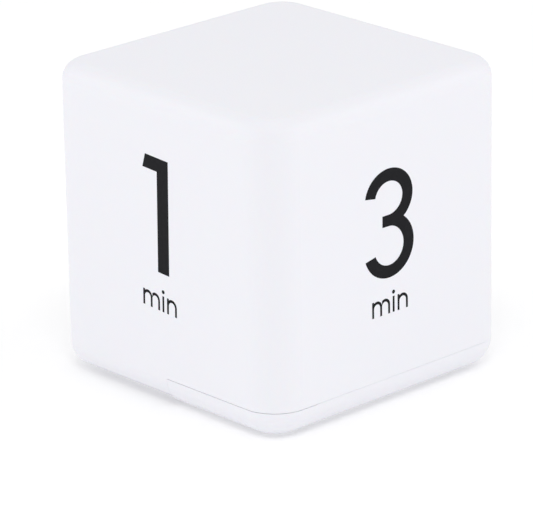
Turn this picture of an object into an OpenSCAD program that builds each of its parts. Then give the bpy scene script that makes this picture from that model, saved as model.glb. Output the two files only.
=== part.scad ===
// Cube countdown timer: a white case with four numbered faces, a blank top and a display base.
// Millimetres. The base rests on z = 0, +Z is up, -Y is the "1" face and +X is the "3" face.

/* [Case] */
// Outer side of the cube
side = 67; // [67:0.5:70]
// Wall thickness of the case
wall = 2.6; // [2.5:0.05:2.6]
// Thickness of the base mouldings
floor_t = 2; // [1.9:0.05:2.1]
// Radius of the four upright edges
corner_r = 8; // [8:0.25:9]
// Radius round the blank top face
top_r = 4; // [3:0.25:5]
// Radius round the base
base_r = 6; // [5.5:0.25:6]
// Height of the seam between the case and the battery door
seam_z = 6.2; // [6.2:0.05:6.3]
// Height of the case's lower edge, over the recessed base plate
part_z = 2.4; // [2.3:0.05:2.5]
// Width of the seams
seam_gap = 0.1; // [0.1:0.01:0.15]

/* [Battery bay] */
// Diameter of a cell
cell_d = 10.5; // [10:0.1:10.5]
// Length of a cell over its terminals
cell_len = 44.5; // [43.5:0.1:44.5]
// Distance between the two cells' axes
cell_pitch = 11.5; // [11:0.1:11.5]
// Free length between the contact plates
bay_len = 48.4; // [48:0.1:48.6]

/* [Electronics] */
// Underside of the circuit board
board_z = 10; // [10:0.1:10.4]
// Thickness of the circuit board
board_t = 1.6; // [1:0.1:1.6]
// Length of the visible display
window_len = 26; // [24:0.5:27]
// Width of the visible display
window_w = 13; // [11:0.5:13.5]
// Travel of the power switch
switch_travel = 2.5; // [2:0.1:2.5]
// Diameter of the ball in the tilt sensor
ball_d = 4; // [3:0.1:4]

/* [Hidden] */
$fn = 96;

// Larger than the whole timer, for cutting away everything beyond a plane
big = 200;
half = side / 2;
shell_z = seam_z + seam_gap / 2;
door_z = seam_z - seam_gap / 2;
tray_inset = 4.6;
tray_rim = 1.2;
rim_top = part_z + 1.2;
split_x = 1.5;
door_x = split_x + seam_gap / 2;
// Beyond tight_y the door's rim stands higher by tight_rise, and the seam closes up
tight_y = 12 - half;
tight_rise = 0.06;

// Tongue and ledge inside the case wall
fit = 0.1;
tongue_t = 1.1;
tongue_z = 6.5;
ledge_z = 6.6;
ledge_t = 1.5;
web_t = 1.4;

// Battery bay
cell_r = cell_d / 2;
cell_gap = 0.35;
cell_lift = 1.6;
cell_z = floor_t + cell_lift + cell_r;
cell_right_x = half - wall - 3.25 - cell_r;
cell_left_x = cell_right_x - cell_pitch;
bay_wall = 1.4;
bay_x0 = cell_left_x - cell_r - cell_gap;
bay_x1 = cell_right_x + cell_r + cell_gap;
plate_t = 0.4;
bay_y = bay_len / 2 + plate_t;
bay_roof = cell_z + cell_r + 0.3;
bay_foot = 3.4;
nub_r = 1.9;
nub_len = 0.8;
plate_half = 4;
tag_w = 2.4;

// Door rails
rail_t = 1;
rail_y = bay_y + bay_wall;
rail_reach = 1.6;
rail_gap = 0.3;
tab_y = 20;
tab_w = 8;
tab_t = 1.2;
tab_reach = 2.4;
tab_clear = 0.2;

// Board outline and its parts
board_x0 = -(half - 3);
board_x1 = 2.8;
board_y = half - 4.6;
board_top = board_z + board_t;
post_xy = half - 9;
post_r = 3;
notch_xy = post_xy - post_r - 0.6;
stub_r = 1.9;
stub_z = floor_t / 2;
side_screw = [17, half - 4.9];
pad_half = 3.5;
pad_z = 10.2;
board_screw_spots = [[-27.3, 12.5], [-27.3, -12.5], [-0.6, 12.5], [-0.6, -12.5]];

lcd_x = -14;
glass_w = 20;
glass_len = 30;
glass_t = 1.1;
film_t = 0.2;
film_inset = 0.5;
film_end = 0.7;
lcd_z = floor_t + 0.05;
glass_z = lcd_z + film_t;
contact_ledge = 2.6;
frame_wall = 1.1;
window_lip = 1.5;
window_z = 1.5;
window_sunk = 0.3;
window_r = 1.9;

buzzer_at = [-13, 23.2];
buzzer_r = 6;
buzzer_z = 4.4;
buzzer_pin_x = 3.25;
lead_out = 1.2;
sensor_at = [-13, -6];
sensor_r = 7.2;
sensor_wall = 1;
orbit_r = 4;
contact_r = 0.3;
post_ring = orbit_r + ball_d / 2 + contact_r + 0.05;
blob_at = [-13, 12];
switch_at = [-13, -22];
knob_len = 5;
knob_w = 4.4;
knob_flange = [10.8, 6.4];
knob_clear = 0.2;
switch_pins_x = [-2, 0, 2];
can = [8.5, 3.8, 3.6];
can_t = 0.3;
can_z = board_z - can[2];
stem_w = 1.6;
stem_z = 3.3;
pin_r = 0.35;
crystal_at = [-22.5, 4];
capacitor_at = [-3.6, -20.5];
transistor_at = [-3.5, 19];
resistor_at = [-27.5, -9];

// Screws: shank radius, shank length, head radius, head height
case_screw = [1.1, 10, 1.8, 1.5];
board_screw = [0.75, 5, 1.6, 1.1];
post_seat = 5.2;
side_seat = 8.5;

// ---- Shapes that repeat ----

// Quarter disc in the first quadrant
module quarter(r) {
    intersection() {
        circle(r);
        square(r + 1);
    }
}

// Half section of the case: from the axis to w, up to h, with both outer corners rounded
module section(w, h, r_top, r_base) {
    translate([0, r_base]) square([w, h - r_top - r_base]);
    square([w - r_base, h / 2]);
    translate([0, h / 2]) square([w - r_top, h / 2]);
    translate([w - r_top, h - r_top]) quarter(r_top);
    translate([w - r_base, r_base]) mirror([0, 1]) quarter(r_base);
}

// The case's outer form, moved inward by inset on all sides
module block(inset) {
    corner = corner_r - inset;
    flat = half - corner_r;
    h = side - 2 * inset;
    translate([0, 0, inset]) {
        for (turn = [0, 90])
            rotate([90, 0, turn]) linear_extrude(2 * flat, center = true) {
                section(half - inset, h, top_r - inset, base_r - inset);
                mirror([1, 0]) section(half - inset, h, top_r - inset, base_r - inset);
            }
        for (turn = [0:90:270])
            rotate([0, 0, turn]) translate([flat, flat, 0])
                rotate_extrude(angle = 90) section(corner, h, top_r - inset, base_r - inset);
    }
}

// Slab in the case's outline, moved inward by inset, from z0 to z1
module slab(inset, z0, z1) {
    s = half - inset;
    r = corner_r - inset;
    for (turn = [0, 90])
        rotate([0, 0, turn]) translate([-s, r - s, z0]) cube([2 * s, 2 * (s - r), z1 - z0]);
    for (turn = [0:90:270])
        rotate([0, 0, turn]) translate([s - r, s - r, z0])
            rotate_extrude(angle = 90) square([r, z1 - z0]);
}

module box(x0, x1, y0, y1, z0, z1) {
    translate([x0, y0, z0]) cube([x1 - x0, y1 - y0, z1 - z0]);
}

module rod(at, r, z0, z1) {
    translate([at[0], at[1], z0]) cylinder(r = r, h = z1 - z0);
}

// Plate with rounded corners, centred on at
module rounded_plate(at, len_x, len_y, r, z0, z1) {
    translate([at[0], at[1], z0]) {
        translate([-len_x / 2, r - len_y / 2, 0]) cube([len_x, len_y - 2 * r, z1 - z0]);
        translate([r - len_x / 2, -len_y / 2, 0]) cube([len_x - 2 * r, len_y, z1 - z0]);
        for (x = [-1, 1], y = [-1, 1])
            translate([x * (len_x / 2 - r), y * (len_y / 2 - r), 0]) cylinder(r = r, h = z1 - z0);
    }
}

module both_y() {
    children();
    mirror([0, 1, 0]) children();
}

// Pan-head screw, head underside at z = 0, shank pointing up
module screw(size) {
    slot_w = 0.28 * size[2];
    difference() {
        translate([0, 0, -size[3]]) cylinder(r = size[2], h = size[3]);
        for (turn = [0, 90])
            rotate([0, 0, turn]) translate([-0.6 * size[2], -slot_w / 2, -size[3] - 1])
                cube([1.2 * size[2], slot_w, 1 + size[3] / 2]);
    }
    cylinder(r = size[0], h = size[1] - size[0]);
    translate([0, 0, size[1] - size[0]]) cylinder(r1 = size[0], r2 = 0.3, h = size[0]);
}

// Closed tube over rings of points, each ring with the same number of points
module ring_tube(rings) {
    n = len(rings[0]);
    last = (len(rings) - 1) * n;
    polyhedron(
        points = [for (ring = rings) each ring],
        faces = concat(
            [[for (i = [0:n - 1]) i]],
            [for (k = [0:len(rings) - 2], i = [0:n - 1])
                [k * n + i, (k + 1) * n + i, (k + 1) * n + (i + 1) % n, k * n + (i + 1) % n]],
            [[for (i = [n - 1:-1:0]) last + i]]
        )
    );
}

function unit(v) = v / norm(v);

// Ring of n points of radius r round the point p, square to the direction t
function ring_at(p, t, r, n) =
    let (u = unit(cross(t, [0.3, 0.2, 1])), v = unit(cross(u, t)))
    [for (i = [0:n - 1]) p + r * (cos(360 * i / n) * u + sin(360 * i / n) * v)];

// Catmull-Rom point between b and c
function spline(a, b, c, d, t) =
    0.5 * (2 * b + (c - a) * t + (2 * a - 5 * b + 4 * c - d) * t * t + (3 * b - a - 3 * c + d) * t * t * t);

// Smooth path through the route's points, steps per span
function smooth(route, steps) =
    let (n = len(route), p = concat([2 * route[0] - route[1]], route, [2 * route[n - 1] - route[n - 2]]))
    concat([for (k = [0:n - 2], s = [0:steps - 1]) spline(p[k], p[k + 1], p[k + 2], p[k + 3], s / steps)],
        [route[n - 1]]);

module wire(route, r) {
    path = smooth(route, 4);
    n = len(path);
    ring_tube([for (k = [0:n - 1])
        ring_at(path[k], path[min(k + 1, n - 1)] - path[max(k - 1, 0)], r, 8)]);
}

// ---- Case ----

// Post for a case screw with two ribs to the corner's walls
module corner_post() {
    post_top = 27;
    rib_t = 1.2;
    post_z = board_z - 0.3;
    rod([-post_xy, -post_xy], post_r, post_z, post_top);
    box(-half + wall / 2, -post_xy, -post_xy - rib_t / 2, -post_xy + rib_t / 2, post_z, post_top);
    box(-post_xy - rib_t / 2, -post_xy + rib_t / 2, -half + wall / 2, -post_xy, post_z, post_top);
}

module side_post() {
    box(side_screw[0] - pad_half, side_screw[0] + pad_half,
        rail_y + 0.2, half - wall / 2, pad_z + 0.1, 25);
}

module body_shell() {
    pilot = case_screw[0] + 0.05;
    color([0.93, 0.93, 0.95])
        difference() {
            union() {
                difference() {
                    block(0);
                    block(wall);
                    slab(wall, -1, side / 2);
                    box(-big, big, -big, big, -1, part_z);
                    box(split_x, big, -big, big, -1, shell_z);
                }
                both_y() corner_post();
                both_y() side_post();
            }
            both_y() rod([-post_xy, -post_xy], pilot, board_z - 1, post_seat + case_screw[1] + 1);
            both_y() rod(side_screw, pilot, pad_z - 1, side_seat + case_screw[1] + 1);
        }
}

module switch_slot() {
    len_x = knob_len + switch_travel + 2 * knob_clear;
    box(switch_at[0] - len_x / 2, switch_at[0] + len_x / 2,
        switch_at[1] - knob_w / 2 - knob_clear, switch_at[1] + knob_w / 2 + knob_clear, -1, floor_t + 1);
}

// Sunk marks at the slot's two ends: a ring for off and a bar for on
module switch_marks() {
    mark_x = 5.9;
    ring_r = 1.2;
    stroke = 0.4;
    deep = 0.2;
    difference() {
        rod(switch_at - [mark_x, 0], ring_r, -1, deep);
        rod(switch_at - [mark_x, 0], ring_r - stroke, -2, deep + 1);
    }
    box(switch_at[0] + mark_x - ring_r, switch_at[0] + mark_x + ring_r,
        switch_at[1] - stroke / 2, switch_at[1] + stroke / 2, -1, deep);
}

// Guides on both sides of the knob's flange
module knob_guides() {
    guide = [10, 1, 1.8];
    guide_y = knob_flange[1] / 2 + knob_clear + guide[1] / 2;
    for (s = [-1, 1])
        translate([switch_at[0] - guide[0] / 2, switch_at[1] + s * guide_y - guide[1] / 2, floor_t - 0.5])
            cube(guide);
}

module sound_holes() {
    hole_r = 0.6;
    ring_r = 2.6;
    rod(buzzer_at, hole_r, -1, floor_t + 1);
    for (turn = [0:60:300])
        rod(buzzer_at + ring_r * [cos(turn), sin(turn)], hole_r, -1, floor_t + 1);
}

module sound_ring() {
    outer_r = 5;
    inner_r = 4.2;
    difference() {
        rod(buzzer_at, outer_r, floor_t - 0.5, buzzer_z - 0.2);
        rod(buzzer_at, inner_r, floor_t - 1, buzzer_z);
    }
}

// Fixed half of the base: a plate in the case's mouth and a tongue that centres it
module tray_base() {
    inner = half - wall - fit;
    foot_y = half - tray_inset;
    intersection() {
        block(0);
        slab(tray_inset, -1, floor_t);
        box(-big, split_x, -big, big, -1, floor_t);
    }
    intersection() {
        union() {
            difference() {
                union() {
                    slab(tray_inset, floor_t / 2, rim_top);
                    slab(wall + fit, part_z, rim_top);
                }
                slab(tray_inset + tray_rim, 0, rim_top + 1);
            }
            difference() {
                slab(wall + fit, part_z, tongue_z);
                slab(wall + fit + tongue_t, 0, tongue_z + 1);
            }
        }
        box(-big, split_x, -big, big, -1, big);
    }
    difference() {
        union() {
            box(split_x - web_t, split_x, -foot_y, foot_y, floor_t / 2, rim_top);
            box(split_x - web_t, split_x, -inner, inner, part_z, ledge_z + ledge_t);
        }
        both_y() box(split_x - 2 * web_t, split_x + 1,
            tab_y - tab_w / 2 - tab_clear, tab_y + tab_w / 2 + tab_clear,
            floor_t, floor_t + tab_t + 2 * tab_clear);
    }
}

// Ledge over the battery door, with the pads for two case screws
module tray_ledge() {
    intersection() {
        slab(wall + fit, ledge_z, ledge_z + ledge_t);
        box(split_x - web_t, big, -big, big, 0, big);
    }
    both_y() box(side_screw[0] - pad_half, side_screw[0] + pad_half,
        bay_y, half - wall - fit, ledge_z, pad_z);
}

// Walls and roof round the two cells, with the rails that carry the door
module bay_tub() {
    box(bay_x0 - bay_wall, bay_x1 + bay_wall, -bay_y - bay_wall, bay_y + bay_wall,
        bay_foot, bay_roof + bay_wall);
    both_y() box(bay_x0 - bay_wall, bay_x1, bay_y + bay_wall / 2, rail_y + rail_reach,
        bay_foot, bay_foot + rail_t);
}

module bay_space() {
    box(bay_x0, bay_x1, -bay_y, bay_y, 0, bay_roof);
    for (x = [cell_left_x, cell_right_x])
        box(x - tag_w / 2 - 0.3, x + tag_w / 2 + 0.3, bay_y - plate_t - 0.1, bay_y + 0.1,
            bay_roof - 1, big / 2);
}

module base_tray() {
    divider_z = cell_z + 3.6;
    divider_x = (cell_left_x + cell_right_x) / 2;
    divider_t = 1.2;
    divider_y = bay_y - 4;
    color([0.92, 0.92, 0.94])
        difference() {
            union() {
                tray_base();
                difference() {
                    union() {
                        tray_ledge();
                        bay_tub();
                    }
                    bay_space();
                }
                box(divider_x - divider_t / 2, divider_x + divider_t / 2,
                    -divider_y, divider_y, divider_z, bay_roof + 0.5);
                for (at = board_screw_spots) rod(at, stub_r, stub_z, board_z);
                both_y() rod([-post_xy, -post_xy], post_r + 0.2, stub_z, board_z - 0.4);
                sound_ring();
                knob_guides();
            }
            for (at = board_screw_spots)
                rod(at, board_screw[0] + 0.05, board_top - board_screw[1] - 1, board_z + 1);
            both_y() rod([-post_xy, -post_xy], case_screw[2] + 0.3, -1, post_seat);
            both_y() rod([-post_xy, -post_xy], case_screw[0] + 0.1, post_seat - 1, board_z);
            both_y() rod(side_screw, case_screw[2] + 0.2, ledge_z - 1, side_seat);
            both_y() rod(side_screw, case_screw[0] + 0.1, side_seat - 1, pad_z + 1);
            rounded_plate([lcd_x, 0], window_w + 2 * window_lip + 0.2, window_len + 2 * window_lip + 0.2,
                window_r + 0.1, -1, window_z);
            rounded_plate([lcd_x, 0], window_w, window_len, 1, 0, floor_t + 1);
            switch_slot();
            switch_marks();
            sound_holes();
        }
}

// Door rail: an upright web with a flange that runs over the tray's rail
module door_rail() {
    x0 = door_x + 1.5;
    x1 = half - 5.5;
    web_y = rail_y + rail_reach + 0.4;
    web_w = 1.2;
    flange_z = bay_foot + rail_t + rail_gap;
    flange_t = 1;
    box(x0, x1, web_y, web_y + web_w, floor_t / 2, flange_z + flange_t);
    box(x0, x1, rail_y + rail_gap, web_y + web_w / 2, flange_z, flange_z + flange_t);
}

// Tab that reaches over the fixed base's floor
module door_tab() {
    tab_z = floor_t + fit;
    root = 2;
    box(split_x - tab_reach, door_x + root, tab_y - tab_w / 2, tab_y + tab_w / 2, tab_z, tab_z + tab_t);
    box(door_x, door_x + root, tab_y - tab_w / 2, tab_y + tab_w / 2, floor_t / 2, tab_z + tab_t);
}

// Finger grooves and an arrow that points the way the door slides
module door_grip() {
    grip_x = half - 13;
    grooves = 5;
    pitch = 1.3;
    groove_w = 0.6;
    half_y = 8;
    deep = 0.35;
    arrow = 3;
    for (k = [0:grooves - 1])
        box(grip_x + pitch * k, grip_x + pitch * k + groove_w, -half_y, half_y, -1, deep);
    translate([grip_x - arrow - 2, 0, -1]) linear_extrude(1 + deep)
        polygon([[0, -arrow], [arrow, 0], [0, arrow]]);
}

module battery_door() {
    color([0.93, 0.93, 0.95])
        difference() {
            union() {
                difference() {
                    block(0);
                    block(floor_t);
                    box(-big, door_x, -big, big, -1, big);
                    box(-big, big, -big, tight_y, door_z, big);
                    box(-big, big, -big, big, door_z + tight_rise, big);
                }
                both_y() door_rail();
                both_y() door_tab();
            }
            door_grip();
        }
}

// ---- Display ----

module display_window() {
    color([0.1, 0.1, 0.11])
        rounded_plate([lcd_x, 0], window_w + 2 * window_lip, window_len + 2 * window_lip, window_r,
            window_sunk, window_z);
}

module lcd_sheet(x0, x1, half_y, z0, t) {
    box(lcd_x + x0, lcd_x + x1, -half_y, half_y, z0, z0 + t);
}

// Polariser or reflector, a little smaller than the glass that it is stuck to
module lcd_film(z) {
    lcd_sheet(-glass_w / 2 + film_inset, glass_w / 2 - contact_ledge - film_inset, glass_len / 2 - film_end,
        z, film_t);
}

module lcd_polariser() {
    color([0.62, 0.66, 0.6]) lcd_film(lcd_z);
}

module lcd_front_glass() {
    color([0.75, 0.8, 0.78]) lcd_sheet(-glass_w / 2, glass_w / 2, glass_len / 2, glass_z, glass_t);
}

// The rear glass is narrower, so that the front one's contacts stay bare for the rubber strip
module lcd_rear_glass() {
    color([0.72, 0.78, 0.75])
        lcd_sheet(-glass_w / 2, glass_w / 2 - contact_ledge, glass_len / 2, glass_z + glass_t, glass_t);
}

module lcd_reflector() {
    color([0.8, 0.82, 0.8]) lcd_film(glass_z + 2 * glass_t);
}

module lcd_frame() {
    back_z = glass_z + 2 * glass_t + film_t + 0.05;
    back_t = 0.8;
    end_wall = 1.4;
    inner = glass_w / 2 + fit;
    inner_y = glass_len / 2 + fit;
    color([0.9, 0.9, 0.88]) {
        difference() {
            lcd_sheet(-inner - frame_wall, inner + frame_wall, inner_y + end_wall,
                lcd_z, board_z - lcd_z - 0.05);
            lcd_sheet(-inner, inner, inner_y, 0, big / 2);
        }
        lcd_sheet(-inner - frame_wall / 2, glass_w / 2 - contact_ledge - 0.2, inner_y + end_wall / 2,
            back_z, back_t);
    }
}

// Striped rubber that joins the glass's contacts to the board's
module zebra_strip() {
    gap = 0.3;
    color([0.85, 0.6, 0.6])
        lcd_sheet(glass_w / 2 - contact_ledge + gap, glass_w / 2 - gap, glass_len / 2 - 1,
            glass_z + glass_t, board_z - glass_z - glass_t);
}

// ---- Board and its parts ----

// Every lead that goes through the board; grow is the clearance round each
module through_leads(grow) {
    buzzer_leads(grow);
    switch_leads(grow);
    sensor_posts(grow);
}

module buzzer_leads(grow) {
    for (x = [-buzzer_pin_x, buzzer_pin_x])
        rod(buzzer_at + [x, 0], pin_r + grow, board_z - 2, board_top + lead_out);
}

module switch_leads(grow) {
    for (x = switch_pins_x) rod(switch_at + [x, 0], pin_r + grow, board_z - 0.5, board_top + lead_out);
}

// Four contact posts round the ball's path and the common post at its centre
module sensor_posts(grow) {
    center_r = 1.5;
    for (turn = [0:90:270])
        rod(sensor_at + post_ring * [cos(turn), sin(turn)], contact_r + grow,
            board_z - lead_out, board_top + 3);
    rod(sensor_at, center_r + grow, board_z - lead_out, board_top + 4);
}

module circuit_board() {
    color([0.1, 0.42, 0.2])
        difference() {
            box(board_x0, board_x1, -board_y, board_y, board_z, board_top);
            both_y() box(board_x0 - 1, -notch_xy, -board_y - 1, -notch_xy, board_z - 1, board_top + 1);
            for (at = board_screw_spots) rod(at, board_screw[0] + 0.15, board_z - 1, board_top + 1);
            through_leads(0.1);
        }
}

// Round epoxy cap: a shallow slice of a sphere
module chip_blob() {
    cap_h = 1.9;
    cap_r = 6;
    ball_r = (cap_r * cap_r + cap_h * cap_h) / (2 * cap_h);
    color([0.06, 0.06, 0.07])
        translate([blob_at[0], blob_at[1], board_top]) intersection() {
            translate([0, 0, cap_h - ball_r]) sphere(ball_r);
            cylinder(r = 2 * cap_r, h = 2 * cap_h);
        }
}

module crystal() {
    can_r = 1;
    can_len = 6;
    lead_r = 0.15;
    lead_x = 0.4;
    lead_len = 2.5;
    color([0.75, 0.76, 0.78])
        translate([crystal_at[0], crystal_at[1], board_top + can_r]) rotate([-90, 0, 0]) {
            cylinder(r = can_r, h = can_len);
            for (x = [-lead_x, lead_x]) translate([x, 0, -lead_len]) cylinder(r = lead_r, h = lead_len + 0.1);
        }
}

module capacitor() {
    can_r = 2.5;
    can_h = 7;
    color([0.15, 0.17, 0.3]) rod(capacitor_at, can_r, board_top, board_top + can_h);
}

module resistors() {
    pitch = 3.2;
    color([0.08, 0.08, 0.09])
        for (k = [0:5])
            translate([resistor_at[0], resistor_at[1] + pitch * k, board_top]) cube([2, 1.25, 0.5]);
}

module transistor() {
    body = [2.9, 1.3, 1.1];
    leg = [0.45, 0.7, 0.5];
    color([0.08, 0.08, 0.08])
        translate([transistor_at[0], transistor_at[1], board_top]) {
            cube(body);
            for (x = [0.25, 2.2]) translate([x, -leg[1], 0]) cube(leg);
            translate([(body[0] - leg[0]) / 2, body[1], 0]) cube(leg);
        }
}

module buzzer_case() {
    color([0.07, 0.07, 0.08])
        difference() {
            rod(buzzer_at, buzzer_r, buzzer_z, board_z);
            rod(buzzer_at, 1, buzzer_z - 1, buzzer_z + 2);
            buzzer_leads(0.02);
        }
}

module buzzer_pins() {
    color([0.8, 0.8, 0.82]) buzzer_leads(0);
}

// ---- Tilt sensor: a ball that rolls round a post and closes one of four contacts ----

module tilt_sensor_cup() {
    chamber_z = board_top + sensor_wall;
    color([0.12, 0.12, 0.13])
        difference() {
            rod(sensor_at, sensor_r, board_top, chamber_z + ball_d + 0.4);
            rod(sensor_at, orbit_r + ball_d / 2 + 0.15, chamber_z, big / 2);
            through_leads(0.03);
        }
}

module tilt_sensor_lid() {
    lid_z = board_top + sensor_wall + ball_d + 0.4;
    color([0.14, 0.14, 0.15]) rod(sensor_at, sensor_r, lid_z, lid_z + 1);
}

module tilt_sensor_pins() {
    color([0.82, 0.7, 0.4]) sensor_posts(0);
}

module tilt_ball() {
    color([0.8, 0.8, 0.82])
        translate([sensor_at[0], sensor_at[1] - orbit_r, board_top + sensor_wall + 0.05 + ball_d / 2])
            sphere(ball_d / 2);
}

// ---- Power switch, drawn at its off end ----

module switch_can() {
    slot_x = stem_w + switch_travel + 0.4;
    color([0.78, 0.78, 0.8])
        translate([switch_at[0], switch_at[1], can_z]) difference() {
            translate([-can[0] / 2, -can[1] / 2, 0]) cube(can);
            translate([can_t - can[0] / 2, can_t - can[1] / 2, can_t])
                cube([can[0] - 2 * can_t, can[1] - 2 * can_t, can[2]]);
            translate([-slot_x / 2, -stem_w / 2 - 0.2, -1]) cube([slot_x, stem_w + 0.4, 2]);
        }
}

module switch_base() {
    gap = can_t + 0.03;
    color([0.45, 0.25, 0.12])
        difference() {
            box(switch_at[0] - can[0] / 2 + gap, switch_at[0] + can[0] / 2 - gap,
                switch_at[1] - can[1] / 2 + gap, switch_at[1] + can[1] / 2 - gap, board_z - 0.9, board_z);
            through_leads(0.03);
        }
}

module switch_pins() {
    color([0.8, 0.8, 0.82]) switch_leads(0);
}

slider_x = switch_at[0] - switch_travel / 2;

slider_top = can_z + 1.6;

// Box that moves with the slider, len_x long and len_y wide
module sliding_box(len_x, len_y, z0, z1) {
    box(slider_x - len_x / 2, slider_x + len_x / 2,
        switch_at[1] - len_y / 2, switch_at[1] + len_y / 2, z0, z1);
}

module switch_slider() {
    color([0.08, 0.08, 0.09]) {
        sliding_box(4, 2.9, can_z + can_t + 0.05, slider_top);
        sliding_box(stem_w, stem_w, stem_z, can_z + 1);
    }
}

// Bronze clip that bridges two pins, on top of the slider
module switch_contact() {
    color([0.8, 0.6, 0.35]) sliding_box(3.2, 1.8, slider_top, slider_top + 0.25);
}

module switch_knob() {
    face_z = 0.4;
    flange_z = floor_t + fit;
    socket = 3.4;
    hole = stem_w + fit;
    groove_w = 0.36;
    groove_deep = 0.35;
    color([0.2, 0.2, 0.21])
        difference() {
            union() {
                sliding_box(knob_len, knob_w, face_z, flange_z + 0.4);
                sliding_box(knob_flange[0], knob_flange[1], flange_z, flange_z + 1);
                sliding_box(socket, socket, flange_z + 0.4, can_z - 0.5);
            }
            sliding_box(hole, hole, stem_z - 0.1, can_z);
            for (k = [-1.5:0.75:1.5])
                translate([k, 0, 0]) sliding_box(groove_w, knob_w + 1, 0, face_z + groove_deep);
        }
}

// ---- Cells and contacts ----

// Cell along Y with its button towards +Y, the button's tip at tip_y
module cell(tip_y) {
    color([0.7, 0.7, 0.72])
        translate([0, tip_y - cell_len, cell_z]) rotate([-90, 0, 0]) {
            cylinder(r = cell_r, h = cell_len - nub_len);
            cylinder(r = nub_r, h = cell_len);
        }
}

module battery_left() {
    translate([cell_left_x, 0, 0]) cell(bay_len / 2);
}

module battery_right() {
    translate([cell_right_x, 0, 0]) mirror([0, 1, 0]) cell(bay_len / 2);
}

plate_z0 = cell_z - 3.8;
plate_z1 = cell_z + 4;

module contact_link() {
    color([0.82, 0.82, 0.84])
        box(cell_left_x - plate_half, cell_right_x + plate_half, -bay_y, -bay_len / 2, plate_z0, plate_z1);
}

// Contact plate with a solder tag that comes out through the bay's roof
module tagged_plate(x) {
    box(x - plate_half, x + plate_half, bay_len / 2, bay_y, plate_z0, plate_z1);
    box(x - tag_w / 2, x + tag_w / 2, bay_len / 2, bay_y, plate_z1 - 1, bay_roof + bay_wall + 1.8);
}

module contact_positive() {
    color([0.82, 0.82, 0.84]) tagged_plate(cell_left_x);
}

module contact_negative() {
    color([0.82, 0.82, 0.84]) tagged_plate(cell_right_x);
}

// Conical spring from a contact plate to a cell's flat end, standing along +Y from y = 0
module cone_spring() {
    wire_r = 0.3;
    turns = 3.5;
    steps = 18;
    base_coil = 3.4;
    tip_coil = 2.4;
    rise = bay_len - cell_len - 2 * wire_r;
    total = turns * steps;
    color([0.8, 0.8, 0.83])
        ring_tube([for (k = [0:total])
            let (
                f = k / total,
                a = 360 * k / steps,
                lift = max(0, min(1, (f * turns - 0.75) / (turns - 1.5))),
                out = [cos(a), 0, sin(a)],
                p = (base_coil + (tip_coil - base_coil) * lift) * out + [0, wire_r + rise * lift, 0]
            )
            [for (i = [0:5]) p + wire_r * (cos(60 * i) * out + sin(60 * i) * [0, 1, 0])]]);
}

module spring_link() {
    translate([cell_left_x, -bay_len / 2, cell_z]) cone_spring();
}

module spring_negative() {
    translate([cell_right_x, bay_len / 2, cell_z]) mirror([0, 1, 0]) cone_spring();
}

// ---- Wires and screws ----

wire_r = 0.65;
tag_y = bay_len / 2 - wire_r - 0.05;
tag_z = bay_roof + bay_wall + 1.2;
pad_rest = board_top + wire_r + 0.05;

module wire_red() {
    color([0.75, 0.08, 0.06])
        wire([[cell_left_x + 0.4, tag_y, tag_z], [9, tag_y, tag_z + 0.4], [6, 23, tag_z + 0.6],
            [3.2, 22.6, tag_z - 0.6], [1.8, 23, pad_rest + 0.9], [0.6, 23.6, pad_rest], [-1, 24, pad_rest]],
            wire_r);
}

module wire_black() {
    color([0.05, 0.05, 0.06])
        wire([[cell_right_x + 0.4, tag_y, tag_z], [20, tag_y - 0.6, tag_z + 0.4], [15, 19, tag_z + 0.5],
            [8, 17, tag_z + 0.6], [4.6, 16.6, tag_z + 0.3], [2.7, 16.6, tag_z - 1.1],
            [1.9, 16.6, pad_rest + 1], [0.8, 16.8, pad_rest], [-0.8, 17, pad_rest]], wire_r);
}

module case_screws() {
    color([0.7, 0.7, 0.72]) {
        both_y() translate([-post_xy, -post_xy, post_seat]) screw(case_screw);
        both_y() translate([side_screw[0], side_screw[1], side_seat]) screw(case_screw);
    }
}

module board_screws() {
    color([0.7, 0.7, 0.72])
        for (at = board_screw_spots)
            translate([at[0], at[1], board_top]) mirror([0, 0, 1]) screw(board_screw);
}

body_shell();
base_tray();
battery_door();
display_window();
lcd_polariser();
lcd_front_glass();
lcd_rear_glass();
lcd_reflector();
lcd_frame();
zebra_strip();
circuit_board();
chip_blob();
crystal();
capacitor();
resistors();
transistor();
buzzer_case();
buzzer_pins();
tilt_sensor_cup();
tilt_sensor_lid();
tilt_sensor_pins();
tilt_ball();
switch_can();
switch_base();
switch_pins();
switch_slider();
switch_contact();
switch_knob();
battery_left();
battery_right();
contact_link();
contact_positive();
contact_negative();
spring_link();
spring_negative();
wire_red();
wire_black();
case_screws();
board_screws();
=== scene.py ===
"""Looks of the cube countdown timer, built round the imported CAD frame."""
import math

import bmesh
import bpy
from mathutils import Matrix, Vector
from mathutils.geometry import tessellate_polygon


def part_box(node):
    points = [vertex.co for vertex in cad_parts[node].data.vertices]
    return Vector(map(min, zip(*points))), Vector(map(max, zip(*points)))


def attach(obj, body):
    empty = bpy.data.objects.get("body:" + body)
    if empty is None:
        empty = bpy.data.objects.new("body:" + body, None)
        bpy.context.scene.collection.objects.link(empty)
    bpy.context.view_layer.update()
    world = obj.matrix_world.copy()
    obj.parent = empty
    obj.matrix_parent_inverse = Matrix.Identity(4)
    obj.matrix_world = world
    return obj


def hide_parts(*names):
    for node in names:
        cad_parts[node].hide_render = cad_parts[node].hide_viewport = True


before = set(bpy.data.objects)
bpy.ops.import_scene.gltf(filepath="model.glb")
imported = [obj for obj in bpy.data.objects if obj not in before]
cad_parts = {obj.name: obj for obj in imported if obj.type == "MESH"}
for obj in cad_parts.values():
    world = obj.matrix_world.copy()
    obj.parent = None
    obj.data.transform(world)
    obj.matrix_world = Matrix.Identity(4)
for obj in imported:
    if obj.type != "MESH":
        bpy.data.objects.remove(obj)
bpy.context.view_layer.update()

MM = 0.001

# ---------------------------------------------------------------- sizes from the frame


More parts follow.
